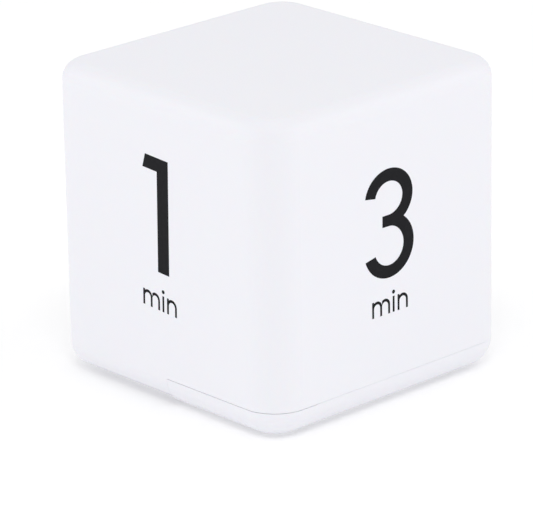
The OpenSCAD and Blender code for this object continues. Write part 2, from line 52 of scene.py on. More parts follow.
def box_mm(node):
    """Lowest and highest corner of a CAD node, in millimetres."""
    low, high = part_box(node)
    return low / MM, high / MM


HALF = box_mm("body_shell")[1].x
TOP = box_mm("body_shell")[1].z

# ---------------------------------------------------------------- camera, in degrees and millimetres

AZIMUTH = 47.1
ELEVATION = 20.0
ROLL = -1.02
DISTANCE = 871.4
TARGET_SHIFT = (-2.56, -10.43)
LENS = 283.75
SENSOR = 36.0


def make_camera():
    az, el, roll = (math.radians(a) for a in (AZIMUTH, ELEVATION, ROLL))
    back = Vector((math.sin(az) * math.cos(el), -math.cos(az) * math.cos(el), math.sin(el)))
    level = Vector((math.cos(az), math.sin(az), 0))
    upright = back.cross(level)
    right = level * math.cos(roll) + upright * math.sin(roll)
    up = upright * math.cos(roll) - level * math.sin(roll)
    place = Vector((0, 0, TOP / 2)) + right * TARGET_SHIFT[0] + up * TARGET_SHIFT[1] + back * DISTANCE
    data = bpy.data.cameras.new("camera")
    data.lens = LENS
    data.sensor_width = SENSOR
    data.sensor_fit = "HORIZONTAL"
    data.clip_start = 0.01
    data.clip_end = 20
    camera = bpy.data.objects.new("camera", data)
    camera.matrix_world = Matrix((right, up, back)).transposed().to_4x4()
    camera.location = place * MM
    bpy.context.scene.collection.objects.link(camera)
    bpy.context.scene.camera = camera


# ---------------------------------------------------------------- materials


def material(name, color, roughness, metallic=0.0, ior=1.5, specular=0.5, transmission=0.0, alpha=1.0,
             grain=None, mottle=None, tint=None, stripes=None, coat=0.0, subsurface=0.0):
    """A procedural surface. grain is (size mm, height mm): fine relief.
    mottle is (size mm, amount): roughness that varies by that much either way.
    tint is (size mm, second colour, share): colour that drifts towards the second one.
    stripes is (pitch mm, second colour): bands across Y in the second colour."""
    m = bpy.data.materials.new(name)
    m.use_nodes = True
    nodes, links = m.node_tree.nodes, m.node_tree.links
    shader = nodes["Principled BSDF"]
    shader.inputs["Base Color"].default_value = (*color, 1)
    shader.inputs["Roughness"].default_value = roughness
    shader.inputs["Metallic"].default_value = metallic
    shader.inputs["IOR"].default_value = ior
    shader.inputs["Transmission Weight"].default_value = transmission
    shader.inputs["Specular IOR Level"].default_value = specular
    shader.inputs["Alpha"].default_value = alpha
    shader.inputs["Coat Weight"].default_value = coat
    shader.inputs["Subsurface Weight"].default_value = subsurface
    shader.inputs["Subsurface Scale"].default_value = 0.5 * MM
    place = nodes.new("ShaderNodeTexCoord")

    def noise(size, detail):
        n = nodes.new("ShaderNodeTexNoise")
        n.inputs["Scale"].default_value = 1 / (size * MM)
        n.inputs["Detail"].default_value = detail
        links.new(place.outputs["Object"], n.inputs["Vector"])
        return n

    if mottle:
        spread = nodes.new("ShaderNodeMapRange")
        spread.inputs["From Min"].default_value = 0.3
        spread.inputs["From Max"].default_value = 0.7
        spread.inputs["To Min"].default_value = max(0.0, roughness - mottle[1])
        spread.inputs["To Max"].default_value = min(1.0, roughness + mottle[1])
        links.new(noise(mottle[0], 3).outputs["Fac"], spread.inputs["Value"])
        links.new(spread.outputs["Result"], shader.inputs["Roughness"])
    if tint:
        share = nodes.new("ShaderNodeMapRange")
        share.inputs["From Min"].default_value = 0.3
        share.inputs["From Max"].default_value = 0.7
        share.inputs["To Max"].default_value = tint[2]
        links.new(noise(tint[0], 4).outputs["Fac"], share.inputs["Value"])
        mix = nodes.new("ShaderNodeMixRGB")
        mix.inputs["Color1"].default_value = (*color, 1)
        mix.inputs["Color2"].default_value = (*tint[1], 1)
        links.new(share.outputs["Result"], mix.inputs["Fac"])
        links.new(mix.outputs["Color"], shader.inputs["Base Color"])
    if stripes:
        wave = nodes.new("ShaderNodeTexWave")
        wave.bands_direction = "Y"
        wave.inputs["Scale"].default_value = math.tau / (20 * stripes[0] * MM)
        links.new(place.outputs["Object"], wave.inputs["Vector"])
        edge = nodes.new("ShaderNodeMapRange")
        edge.inputs["From Min"].default_value = 0.45
        edge.inputs["From Max"].default_value = 0.55
        links.new(wave.outputs["Fac"], edge.inputs["Value"])
        mix = nodes.new("ShaderNodeMixRGB")
        mix.inputs["Color1"].default_value = (*color, 1)
        mix.inputs["Color2"].default_value = (*stripes[1], 1)
        links.new(edge.outputs["Result"], mix.inputs["Fac"])
        links.new(mix.outputs["Color"], shader.inputs["Base Color"])
    if grain:
        bump = nodes.new("ShaderNodeBump")
        bump.inputs["Distance"].default_value = grain[1] * MM
        bump.inputs["Strength"].default_value = 1.0
        links.new(noise(grain[0], 2).outputs["Fac"], bump.inputs["Height"])
        links.new(bump.outputs["Normal"], shader.inputs["Normal"])
    return m


WHITE = (0.855, 0.853, 0.900)
CREAM = (0.850, 0.855, 0.890)

BLACK = (0.018, 0.018, 0.020)
FILM = (0.560, 0.610, 0.540)
TIN = (0.720, 0.720, 0.700)

case_white = material("case_white", WHITE, 0.42, ior=1.53, specular=0.16, mottle=(14, 0.04),
                      grain=(0.35, 0.0012), tint=(30, CREAM, 0.35), subsurface=0.06)
ink = material("ink", (0.0075, 0.0075, 0.0095), 0.5, specular=0.10, mottle=(0.8, 0.06), grain=(0.2, 0.001),
               tint=(2.5, (0.010, 0.010, 0.012), 0.6))
window_clear = material("window_clear", (0.86, 0.88, 0.89), 0.04, ior=1.49, transmission=1.0,
                        alpha=0.25, mottle=(9, 0.015))
window_black = material("window_black", (0.010, 0.010, 0.012), 0.45, mottle=(1, 0.05))
film_grey = material("film_grey", FILM, 0.38, coat=0.4, mottle=(3, 0.05), grain=(0.09, 0.0004),
                     tint=(6, (0.540, 0.600, 0.550), 0.6))
segment_dark = material("segment_dark", (0.016, 0.018, 0.024), 0.36, coat=0.4, mottle=(1, 0.05))
segment_ghost = material("segment_ghost", (0.490, 0.540, 0.475), 0.38, coat=0.4, mottle=(1, 0.05))
glass = material("glass", (0.90, 0.96, 0.94), 0.02, ior=1.52, transmission=1.0, mottle=(12, 0.01))
reflector_silver = material("reflector_silver", (0.62, 0.64, 0.60), 0.5, metallic=0.7,
                            mottle=(0.4, 0.1), grain=(0.15, 0.002))
frame_plastic = material("frame_plastic", (0.78, 0.78, 0.74), 0.5, mottle=(5, 0.06), grain=(0.3, 0.002))
zebra_rubber = material("zebra_rubber", (0.80, 0.42, 0.42), 0.62, stripes=(0.25, (0.03, 0.03, 0.03)),
                        grain=(0.4, 0.002))
board_green = material("board_green", (0.010, 0.105, 0.040), 0.30, coat=0.5, mottle=(6, 0.05),
                       grain=(0.5, 0.0015), tint=(0.7, (0.014, 0.130, 0.050), 0.7))
trace_green = material("trace_green", (0.022, 0.205, 0.075), 0.28, coat=0.5, mottle=(2, 0.05))
board_white = material("board_white", (0.78, 0.78, 0.76), 0.6, mottle=(1, 0.06), grain=(0.15, 0.001))
epoxy = material("epoxy", (0.010, 0.010, 0.012), 0.16, coat=0.3, mottle=(2.5, 0.06), grain=(2.2, 0.02))
part_black = material("part_black", BLACK, 0.45, mottle=(2, 0.08), grain=(0.12, 0.002))
soft_black = material("soft_black", (0.022, 0.022, 0.024), 0.58, mottle=(2, 0.06), grain=(0.18, 0.004))
knob_grey = material("knob_grey", (0.130, 0.132, 0.138), 0.55, mottle=(2, 0.06), grain=(0.18, 0.004))
mesh_black = material("mesh_black", (0.028, 0.028, 0.030), 0.7, mottle=(1, 0.05), grain=(0.06, 0.002))
sleeve_blue = material("sleeve_blue", (0.012, 0.022, 0.105), 0.28, coat=0.3, mottle=(2, 0.05),
                       grain=(1.5, 0.006))
sleeve_pale = material("sleeve_pale", (0.42, 0.44, 0.50), 0.32, coat=0.3, mottle=(2, 0.05))
tin = material("tin", TIN, 0.28, metallic=1.0, mottle=(0.8, 0.10), grain=(0.5, 0.004))
nickel = material("nickel", (0.66, 0.64, 0.60), 0.20, metallic=1.0, mottle=(1.5, 0.07), grain=(0.8, 0.003))
gold = material("gold", (0.83, 0.60, 0.26), 0.24, metallic=1.0, mottle=(0.6, 0.08), grain=(0.4, 0.002))
bronze = material("bronze", (0.72, 0.45, 0.22), 0.30, metallic=1.0, mottle=(0.6, 0.08), grain=(0.3, 0.003))
steel = material("steel", (0.62, 0.62, 0.63), 0.07, metallic=1.0, mottle=(1, 0.03), grain=(0.3, 0.0005))
aluminium = material("aluminium", (0.74, 0.74, 0.75), 0.33, metallic=1.0, mottle=(1, 0.08),
                     grain=(0.3, 0.003))
zinc = material("zinc", (0.60, 0.61, 0.64), 0.30, metallic=1.0, mottle=(0.7, 0.10), grain=(0.35, 0.005),
                tint=(1.2, (0.52, 0.54, 0.60), 0.7))
solder_bright = material("solder_bright", (0.66, 0.67, 0.68), 0.20, metallic=1.0, mottle=(0.5, 0.10),
                         grain=(0.6, 0.01))
phenolic = material("phenolic", (0.200, 0.088, 0.034), 0.55, mottle=(0.8, 0.06), grain=(0.2, 0.004),
                    tint=(0.6, (0.150, 0.062, 0.024), 0.8))
jacket_blue = material("jacket_blue", (0.020, 0.080, 0.250), 0.26, coat=0.5, mottle=(8, 0.05),
                       grain=(2.5, 0.006), tint=(10, (0.024, 0.100, 0.290), 0.7))
jacket_silver = material("jacket_silver", (0.62, 0.64, 0.66), 0.30, metallic=0.6, coat=0.5,
                         mottle=(4, 0.05), grain=(2.5, 0.006))
washer_white = material("washer_white", (0.72, 0.72, 0.70), 0.6, mottle=(1, 0.05), grain=(0.2, 0.003))
wire_red = material("wire_red", (0.470, 0.014, 0.012), 0.36, mottle=(2, 0.06), grain=(0.5, 0.006))
wire_black = material("wire_black", (0.014, 0.014, 0.016), 0.36, mottle=(2, 0.06), grain=(0.5, 0.006))

CAD_SURFACES = {
    "body_shell": case_white, "base_tray": case_white, "battery_door": case_white,
    "display_window": window_clear, "lcd_polariser": film_grey, "lcd_front_glass": glass,
    "lcd_rear_glass": glass, "lcd_reflector": reflector_silver, "lcd_frame": frame_plastic,
    "zebra_strip": zebra_rubber, "circuit_board": board_green, "chip_blob": epoxy,
    "crystal": aluminium, "resistors": part_black, "buzzer_case": soft_black, "buzzer_pins": tin,
    "tilt_sensor_cup": part_black, "tilt_sensor_lid": part_black, "tilt_sensor_pins": gold,
    "tilt_ball": steel, "switch_can": tin, "switch_base": phenolic, "switch_pins": tin,
    "switch_slider": part_black, "switch_contact": bronze, "switch_knob": knob_grey,
    "contact_link": nickel, "contact_positive": nickel, "contact_negative": nickel,
}


def paint(node, surface):
    """Gives a CAD node one surface, in all its material slots."""
    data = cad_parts[node].data
    if not data.materials:
        data.materials.append(surface)
    for i in range(len(data.materials)):
        data.materials[i] = surface


# ---------------------------------------------------------------- mesh helpers


class Build:
    """Collects closed solids, in millimetres, into one mesh piece with one or more surfaces."""

    def __init__(self):
        self.points, self.faces, self.marks = [], [], []

    def add(self, solid, mark=0):
        """mark is the solid's surface, or a list with one for each face."""
        points, faces = solid
        start = len(self.points)
        self.points += [Vector(p) * MM for p in points]
        self.faces += [tuple(start + i for i in face) for face in faces]
        self.marks += mark if isinstance(mark, list) else [mark] * len(faces)

    def piece(self, name, surfaces, slot, body="case", replaces=()):
        data = bpy.data.meshes.new(name)
        data.from_pydata(self.points, [], self.faces)
        for surface in surfaces:
            data.materials.append(surface)
        data.polygons.foreach_set("material_index", self.marks)
        tidy = bmesh.new()
        tidy.from_mesh(data)
        bmesh.ops.remove_doubles(tidy, verts=tidy.verts, dist=WELD * MM)
        bmesh.ops.recalc_face_normals(tidy, faces=tidy.faces)
        tidy.to_mesh(data)
        tidy.free()
        data.polygons.foreach_set("use_smooth", [True] * len(data.polygons))
        data.set_sharp_from_angle(angle=math.radians(SHARP))
        made = bpy.data.objects.new(name, data)
        bpy.context.scene.collection.objects.link(made)
        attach(made, body)
        if replaces:
            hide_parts(*replaces)
        return made


WELD = 0.0005
SHARP = 32


def islands(node):
    """The box of each separate solid of a CAD node, in millimetres, in order of X and then Y."""
    mesh = bmesh.new()
    mesh.from_mesh(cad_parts[node].data)
    bmesh.ops.remove_doubles(mesh, verts=mesh.verts, dist=WELD * MM)
    seen, boxes = set(), []
    for first in mesh.verts:
        if first in seen:
            continue
        group, queue = [], [first]
        seen.add(first)
        while queue:
            vert = queue.pop()
            group.append(vert.co / MM)
            for edge in vert.link_edges:
                other = edge.other_vert(vert)
                if other not in seen:
                    seen.add(other)
                    queue.append(other)
        boxes.append((Vector([min(p[i] for p in group) for i in range(3)]),
                      Vector([max(p[i] for p in group) for i in range(3)])))
    mesh.free()
    return sorted(boxes, key=lambda box: (round(box[0].x, 2), round(box[0].y, 2)))


def upright(at, flip=1):
    """Places a solid's own (x, y, h) at a point, h up, or down when flip is -1."""
    return lambda x, y, h: (at[0] + x, at[1] + y * flip, at[2] + h * flip)


def along_y(at, flip=1):
    """Places a solid's own (x, y, h) at a point, h along +Y, or -Y when flip is -1."""
    return lambda x, y, h: (at[0] + x, at[1] + h * flip, at[2] - y * flip)


def lathe(profile, place, steps=48):
    """A solid of revolution. profile holds (radius, h) and starts and ends on the axis."""
    points, faces = [], []
    for r, h in profile:
        for i in range(steps):
            a = math.tau * i / steps
            points.append(place(r * math.cos(a), r * math.sin(a), h))
    for k in range(len(profile) - 1):
        for i in range(steps):
            j = (i + 1) % steps
            faces.append((k * steps + i, k * steps + j, (k + 1) * steps + j, (k + 1) * steps + i))
    return points, faces


def lathe_marks(marks, steps=48):
    """One surface for each stretch of a lathe profile, spelled out for its faces."""
    return [mark for mark in marks for _ in range(steps)]


def loft(rings):
    """A closed solid through rings of points."""
    n = len(rings[0])
    points = [p for ring in rings for p in ring]
    faces = [tuple(range(n)), tuple(len(points) - n + i for i in range(n))]
    for k in range(len(rings) - 1):
        for i in range(n):
            j = (i + 1) % n
            faces.append((k * n + i, k * n + j, (k + 1) * n + j, (k + 1) * n + i))
    return points, faces


def tube(path, radius, sides=12):
    """A round tube along a path, without twist."""
    path = [Vector(p) for p in path]
    last = len(path) - 1
    rings, side = [], None
    for k, p in enumerate(path):
        ahead = (path[min(k + 1, last)] - path[max(k - 1, 0)]).normalized()
        side = (side - ahead * side.dot(ahead) if side else ahead.orthogonal()).normalized()
        over = ahead.cross(side)
        rings.append([p + radius * (math.cos(a) * side + math.sin(a) * over)
                      for a in (math.tau * i / sides for i in range(sides))])
    return loft(rings)


def smooth_path(route, steps):
    """A Catmull-Rom curve through the route's points."""
    points = [Vector(p) for p in route]
    points = [2 * points[0] - points[1]] + points + [2 * points[-1] - points[-2]]
    path = []
    for a, b, c, d in zip(points, points[1:], points[2:], points[3:]):
        for s in range(steps):
            t = s / steps
            path.append(0.5 * (2 * b + (c - a) * t + (2 * a - 5 * b + 4 * c - d) * t * t
                               + (3 * b - a - 3 * c + d) * t * t * t))
    return path + [points[-2]]


def soft_box(low, high, edge, segments=2):
    """A box with rounded edges."""
    mesh = bmesh.new()
    bmesh.ops.create_cube(mesh, size=1)
    middle = [(a + b) / 2 for a, b in zip(low, high)]
    size = [b - a for a, b in zip(low, high)]
    for vert in mesh.verts:
        vert.co = Vector([m + c * s for m, c, s in zip(middle, vert.co, size)])
    bmesh.ops.bevel(mesh, geom=mesh.edges[:], offset=edge, segments=segments, profile=0.5, affect="EDGES")
    mesh.verts.index_update()
    solid = [tuple(v.co) for v in mesh.verts], [tuple(v.index for v in f.verts) for f in mesh.faces]
    mesh.free()
    return solid


def prism(shapes, low, high, place):
    """Closed prisms over flat shapes. Each shape is a list of loops of (u, v): an outline, then its holes.
    place(u, v, w) gives the point, and w runs from low to high."""
    points, faces = [], []
    for loops in shapes:
        flat = [p for loop in loops for p in loop]
        count, start = len(flat), len(points)
        points += [place(u, v, low) for u, v in flat] + [place(u, v, high) for u, v in flat]
        for a, b, c in tessellate_polygon([[Vector((u, v, 0)) for u, v in loop] for loop in loops]):
            faces.append((start + a, start + b, start + c))
            faces.append((start + count + c, start + count + b, start + count + a))
        first = start
        for loop in loops:
            n = len(loop)
            for i in range(n):
                j = (i + 1) % n
                faces.append((first + i, first + j, first + count + j, first + count + i))
            first += n
    return points, faces


# ---------------------------------------------------------------- printed numbers

INK_PROUD = 0.02
INK_DEPTH = 0.05
ARC_STEPS = 40


def arc(center, radii, start, end, steps=ARC_STEPS):
    """Points on an ellipse from one angle to another, in degrees."""
    angles = [math.radians(start + (end - start) * i / steps) for i in range(steps + 1)]
    return [(center[0] + radii[0] * math.cos(a), center[1] + radii[1] * math.sin(a)) for a in angles]


def shift(shapes, du, dv):
    """Moves shapes across and up."""
    return [[[(u + du, v + dv) for u, v in loop] for loop in loops] for loops in shapes]


def turn(shapes, pivot, degrees, slope=0.0):
    """Turns shapes about pivot, and slopes their level lines by a further angle."""
    a, s = math.radians(degrees), math.tan(math.radians(slope))
    out = []
    for loops in shapes:
        out.append([])
        for loop in loops:
            rel = [(u - pivot[0], v - pivot[1]) for u, v in loop]
            rel = [(u, v + s * u) for u, v in rel]
            out[-1].append([(pivot[0] + u * math.cos(a) - v * math.sin(a),
                             pivot[1] + u * math.sin(a) + v * math.cos(a)) for u, v in rel])
    return out


def numeral_one(height=24.5, stem=3.35, flag=4.3, thick=2.95, slant=0.8):
    """A 1 with a level flag, its stem's right side on u = 0 and its foot on v = 0."""
    return [[[(-stem, 0), (0, 0), (0, height), (-stem - flag + slant, height),
              (-stem - flag, height - thick), (-stem, height - thick)]]]


def numeral_three(width=13.75, height=23.3, stroke=2.9, thin=2.7, bar=2.4):
    """A 3 of two elliptic bowls that share a short bar, its left side on u = 0 and its foot on v = 0.
    stroke is its width across, and thin its width up and down."""
    waist = 12.25
    upper = (6.75, waist + (height - thin / 2 - waist) / 2)
    lower = (6.75, waist - (waist - thin / 2) / 2)
    upper_r = (width - 0.25 - stroke / 2 - upper[0], height - thin / 2 - upper[1])
    lower_r = (width - stroke / 2 - lower[0], waist - lower[1])
    bar_end = 4.9
    top_cut = 170
    foot_cut, foot_cut_inner = 197.5, 200.5

    def outer(r):
        return (r[0] + stroke / 2, r[1] + thin / 2)

    def inner(r):
        return (r[0] - stroke / 2, r[1] - thin / 2)

    def notch():
        """Where the bowls' outer edges meet on the right: the angle on each."""
        big, small = outer(upper_r), outer(lower_r)
        low, high = lower[1], upper[1]
        for _ in range(60):
            v = (low + high) / 2
            u_upper = upper[0] + big[0] * math.sqrt(max(0, 1 - ((v - upper[1]) / big[1]) ** 2))
            u_lower = lower[0] + small[0] * math.sqrt(max(0, 1 - ((v - lower[1]) / small[1]) ** 2))
            low, high = (v, high) if u_lower > u_upper else (low, v)
        return (math.degrees(math.asin((v - upper[1]) / big[1])),
                math.degrees(math.asin((v - lower[1]) / small[1])))

    def towards_bar(points, center, r, goal):
        """Bends an inner edge so that its end meets the bar's edge."""
        gap = goal - (center[1] + math.copysign(r[1], waist - center[1]))
        return [(u, v + gap * max(0, (v - center[1]) / (goal - center[1])) ** 4) for u, v in points]

    upper_meet, lower_meet = notch()
    outline = arc(upper, outer(upper_r), top_cut, upper_meet)
    outline += arc(lower, outer(lower_r), lower_meet, foot_cut - 360)[1:]
    outline += towards_bar(arc(lower, inner(lower_r), foot_cut_inner, 450), lower, inner(lower_r),
                           waist - bar / 2)
    outline += [(bar_end, waist - bar / 2), (bar_end, waist + bar / 2)]
    outline += towards_bar(arc(upper, inner(upper_r), -90, top_cut), upper, inner(upper_r), waist + bar / 2)
    return [[outline]]


def numeral_five(width=13.4, height=23.2, stroke=2.8):
    """A 5 in the same hand: a flag, a thin upright and an elliptic bowl."""
    center = (5.9, 7.6)
    big = (width - center[0], center[1])
    small = (big[0] - stroke, big[1] - stroke)
    shoulder = 128
    outline = [(1.9, height), (12.2, height), (12.2, height - stroke), (4.3, height - stroke)]
    knee = arc(center, big, shoulder - 22, -158)
    outline += [(3.75, knee[0][1] - 0.4)] + knee
    outline += arc(center, small, -158, shoulder)
    outline += [(0.7, 10.7)]
    return [[outline]]


def numeral_zero(width=15.2, height=23.6, stroke=2.8):
    center = (width / 2, height / 2 - 0.2)
    outer = (width / 2, height / 2)
    inner = (outer[0] - stroke, outer[1] - stroke)
    return [[arc(center, outer, 0, 360)[:-1], arc(center, inner, 0, 360)[:-1]]]


def letter_i(stroke, height):
    dot_r = 0.42
    dot = arc((stroke / 2, height + 0.92), (dot_r, dot_r), 0, 360, 20)[:-1]
    return [[[(0, 0), (stroke, 0), (stroke, height), (0, height)]], [dot]]


def letters_with_arches(count, pitch, height, stroke, steps=18):
    """An n for one arch and an m for two, left side on u = 0, with its stems a pitch apart."""
    outer = (pitch + stroke) / 2
    inner = (pitch - stroke) / 2
    meet = math.degrees(math.acos((stroke - outer) / outer))
    outline = [(0, 0), (0, height), (stroke, height)]
    for k in range(count):
        outline += arc((k * pitch + outer, height - outer), (outer, outer), meet, 0, steps)
    outline.append((count * pitch + stroke, 0))
    for k in reversed(range(count)):
        under = arc((k * pitch + outer, height - outer - 0.08), (inner, inner), 0, 180, steps)
        outline += [(under[0][0], 0)] + under + [(under[-1][0], 0)]
    return [[outline]]


def word_min(stroke=0.53, height=3.42, m_pitch=2.27, n_pitch=2.4, gaps=(1.3, 1.4)):
    """The word min, centred on u = 0, standing on v = 0. gaps are from m to i and from i to n."""
    i_left = 2 * m_pitch + gaps[0]
    n_left = i_left + gaps[1]
    word = letters_with_arches(2, m_pitch, height, stroke)
    word += shift(letter_i(stroke, height), i_left, 0)
    word += shift(letters_with_arches(1, n_pitch, height, stroke), n_left, 0)
    return shift(word, -(n_left + n_pitch + stroke) / 2, 0)


def side_place(quarter):
    """Maps (u, v, w) on a side to a point: u across from the side's middle, v up, w out of the surface.
    Quarter 0 is the -Y side, and each further one is a quarter turn to the right."""
    a = math.radians(90 * quarter)

    def place(u, v, w):
        x, y = u, -(HALF + w)
        return (x * math.cos(a) - y * math.sin(a), x * math.sin(a) + y * math.cos(a), v)

    return place


def print_side(name, quarter, shapes):
    number = Build()
    number.add(prism(shapes, -INK_DEPTH, INK_PROUD, side_place(quarter)))
    number.piece(name, [ink], "print_ink")


def make_numbers():
    foot = (3.05, 28.85)
    one = turn(shift(numeral_one(), *foot), foot, -1.0, -2.2)
    base = (0, 20.75)
    print_side("print_one_min", 0, one + turn(shift(word_min(), *base), base, -0.9, -2.7))
    three = shift(numeral_three(), 25.7 - HALF, 27.95)
    print_side("print_three_min", 1, three + shift(word_min(), -0.9, 20.25))
    print_side("print_five_min", 2, shift(numeral_five(), -6.7, 28.4) + shift(word_min(), 0, 20.4))
    ten = shift(numeral_one(), -3.6, 28.4) + shift(numeral_zero(), -0.9, 28.6)
    print_side("print_ten_min", 3, ten + shift(word_min(), 0, 20.4))


# ---------------------------------------------------------------- base: display and switch


def base_place(at, depth=0.0):
    """Maps (u, v, w) on the underside: u along +Y, v along +X, w downwards from z = depth."""
    return lambda u, v, w: (at[0] + v, at[1] + u, depth - w)


def rounded_outline(half_u, half_v, r, steps=8):
    out = []
    for k, (su, sv) in enumerate(((1, 1), (-1, 1), (-1, -1), (1, -1))):
        out += arc((su * (half_u - r), sv * (half_v - r)), (r, r), 90 * k, 90 * k + 90, steps)
    return out


def segment_bar(u0, v0, u1, v1, thick):
    """A display segment with pointed ends, from one corner of a digit to the next."""
    length = math.hypot(u1 - u0, v1 - v0)
    along = ((u1 - u0) / length, (v1 - v0) / length)
    across = (-along[1], along[0])
    gap, t = 0.12, thick / 2
    flat = [(gap, 0), (gap + t, t), (length - gap - t, t), (length - gap, 0),
            (length - gap - t, -t), (gap + t, -t)]
    return [[(u0 + a * along[0] + b * across[0], v0 + a * along[1] + b * across[1]) for a, b in flat]]


def display_digit(left, width, height, thick):
    """The seven bars of a digit: six that make a 0, and the middle one."""
    right, mid = left + width, height / 2
    corners = [(left, 0), (left, mid), (left, height), (right, height), (right, mid), (right, 0)]
    bars = [segment_bar(*a, *b, thick) for a, b in zip(corners, corners[1:] + corners[:1])]
    return bars, segment_bar(left, mid, right, mid, thick)


def make_display():
    """Black border inside the window, and a reading of 00:00 under it."""
    low, high = box_mm("display_window")
    at = (low + high) / 2
    pane_u, pane_v = (high.y - low.y) / 2, (high.x - low.x) / 2
    margin, border = 0.15, 1.55
    outer = rounded_outline(pane_u - margin, pane_v - margin, 1.75)
    inner = rounded_outline(pane_u - border, pane_v - border, 1.0)
    edge = Build()
    edge.add(prism([[outer, inner]], -(high.z - 0.01), -(high.z - 0.05), base_place(at)))
    edge.piece("window_border", [window_black], "window_print")

    width, height, thick = 3.6, 7.6, 0.9
    pitch, colon = 5.3, 2.5
    film = box_mm("lcd_polariser")[0].z
    start = -(3 * pitch + colon + width) / 2
    lit, unlit = [], []
    for k in range(4):
        bars, middle = display_digit(start + pitch * k + (colon if k > 1 else 0), width, height, thick)
        lit += bars
        unlit.append(middle)
    for v in (0.3 * height, 0.7 * height):
        lit.append([arc((0, v), (0.45, 0.45), 0, 360, 16)[:-1]])
    reading = Build()
    place = base_place((at.x, at.y), film)
    for mark, shapes in enumerate((lit, unlit)):
        reading.add(prism(shift(shapes, 0, -height / 2), -0.05, 0.02, place), mark)
    reading.piece("display_reading", [segment_dark, segment_ghost], "display_segments")


def make_switch_marks():
    """Ink in the sunk ring and bar at the switch slot's two ends."""
    low, high = box_mm("switch_can")
    at = (low + high) / 2
    mark_x, ring_r, stroke, deep = 5.9, 1.2, 0.4, 0.2
    ease = 0.02
    ring = [arc((0, -mark_x), (r, r), 0, 360)[:-1] for r in (ring_r - ease, ring_r - stroke + ease)]
    bar_u, bar_v = stroke / 2 - ease, ring_r - ease
    bar = [[(-bar_u, mark_x - bar_v), (bar_u, mark_x - bar_v),
            (bar_u, mark_x + bar_v), (-bar_u, mark_x + bar_v)]]
    marks = Build()
    marks.add(prism([ring, bar], -deep, -0.05, base_place(at)))
    marks.piece("switch_marks", [ink], "print_ink")


def make_sound_mesh():
    """Woven disc behind the sound holes."""
    low, high = box_mm("buzzer_case")
    at = (low + high) / 2
    radius, pitch, thread = 4.1, 0.42, 0.09
    tray_floor = 2.0
    z = tray_floor + 0.2
    woven = Build()
    count = int(radius / pitch)
    for k in range(-count, count + 1):
        reach = math.sqrt(radius * radius - (k * pitch) ** 2)
        steps = max(4, int(2 * reach / pitch) * 2)
        for across in (False, True):
            path = []
            for i in range(steps + 1):
                s = -reach + 2 * reach * i / steps
                lift = 0.6 * thread * math.cos(math.pi * (s / pitch + k + (1 if across else 0)))
                x, y = (s, k * pitch) if across else (k * pitch, s)
                path.append((at.x + x, at.y + y, z + lift))
            woven.add(tube(path, thread, 6))
    woven.piece("sound_mesh", [mesh_black], "sound_mesh")


# ---------------------------------------------------------------- screws


def cross_outline(reach, half):
    """Plus shape with its arms' ends at reach."""
    corner = [(reach, -half), (reach, half), (half, half)]
    out = []
    for k in range(4):
        c, s = (1, 0, -1, 0)[k], (0, 1, 0, -1)[k]
        out += [(u * c - v * s, u * s + v * c) for u, v in corner]
    return out


def screw_head(head_r, head_h, shank_r, place, steps=40):
    """Domed pan head from h = 0 down to -head_h, with a tapered cross recess."""
    flat_r = 0.62 * head_r
    depth = 0.55 * head_h
    side = [(shank_r * 0.8, 0.0), (head_r * 0.97, 0.0), (head_r, -0.1 * head_h), (head_r, -0.45 * head_h)]
    side += [(flat_r + (head_r - flat_r) * math.cos(a), -head_h * (0.45 + 0.55 * math.sin(a)))
             for a in (math.radians(15 * k) for k in range(1, 7))]
    circle = [(flat_r * math.cos(math.tau * i / steps), flat_r * math.sin(math.tau * i / steps))
              for i in range(steps)]
    top = cross_outline(0.55 * head_r, 0.13 * head_r)
    foot = cross_outline(0.40 * head_r, 0.09 * head_r)
    points, faces = lathe([(0, 0.0)] + side, place, steps)

    def cap(loops, h, closed):
        start = len(points)
        points.extend(place(u, v, h) for loop in loops for u, v in loop)
        flat = [[Vector((u, v, 0)) for u, v in loop] for loop in loops]
        faces.extend((start + a, start + b, start + c) for a, b, c in tessellate_polygon(flat))
        return start + (0 if closed else len(loops[0]))

    above = cap([circle, top], -head_h, False)
    below = cap([foot], -head_h + depth, True)
    n = len(top)
    faces.extend((above + i, above + (i + 1) % n, below + (i + 1) % n, below + i) for i in range(n))
    return points, faces


def screw_thread(root, crest, start, end, pitch, place):
    """Raised helix of triangular section."""
    per_turn = 20
    steps = int((end - start) / pitch * per_turn)
    rings = []
    for k in range(steps + 1):
        a, h = math.tau * k / per_turn, start + pitch * k / per_turn
        fade = min(1.0, k / per_turn, (steps - k) / per_turn)
        tip = root + (crest - root) * fade
        rings.append([place(r * math.cos(a), r * math.sin(a), h + dh)
                      for r, dh in ((root - 0.05, -0.28 * pitch), (tip, 0), (root - 0.05, 0.28 * pitch))])
    return loft(rings)


def make_screws(node, shank_r, head_r, head_h, pitch, flip):
    """Detailed screws in place of a CAD group. flip is 1 where the shank points up."""
    group = Build()
    for low, high in islands(node):
        middle = (low + high) / 2
        seat = low.z + head_h if flip > 0 else high.z - head_h
        place = upright((middle.x, middle.y, seat), flip)
        length = high.z - low.z - head_h
        root = 0.8 * shank_r
        group.add(screw_head(head_r, head_h, shank_r, place))
        shank = [(0, -0.05), (root, -0.05), (root, length - shank_r), (0.3, length), (0, length)]
        group.add(lathe(shank, place, 32))
        group.add(screw_thread(root, shank_r, 0.4, length - 0.9 * shank_r, pitch, place))
    group.piece(node + "_threaded", [zinc], "screw_zinc", replaces=(node,))


# ---------------------------------------------------------------- cells, springs and wires


def cell_axis(node):
    """X and Z of a cell's axis."""
    low, high = box_mm(node)
    return (low.x + high.x) / 2, (low.z + high.z) / 2


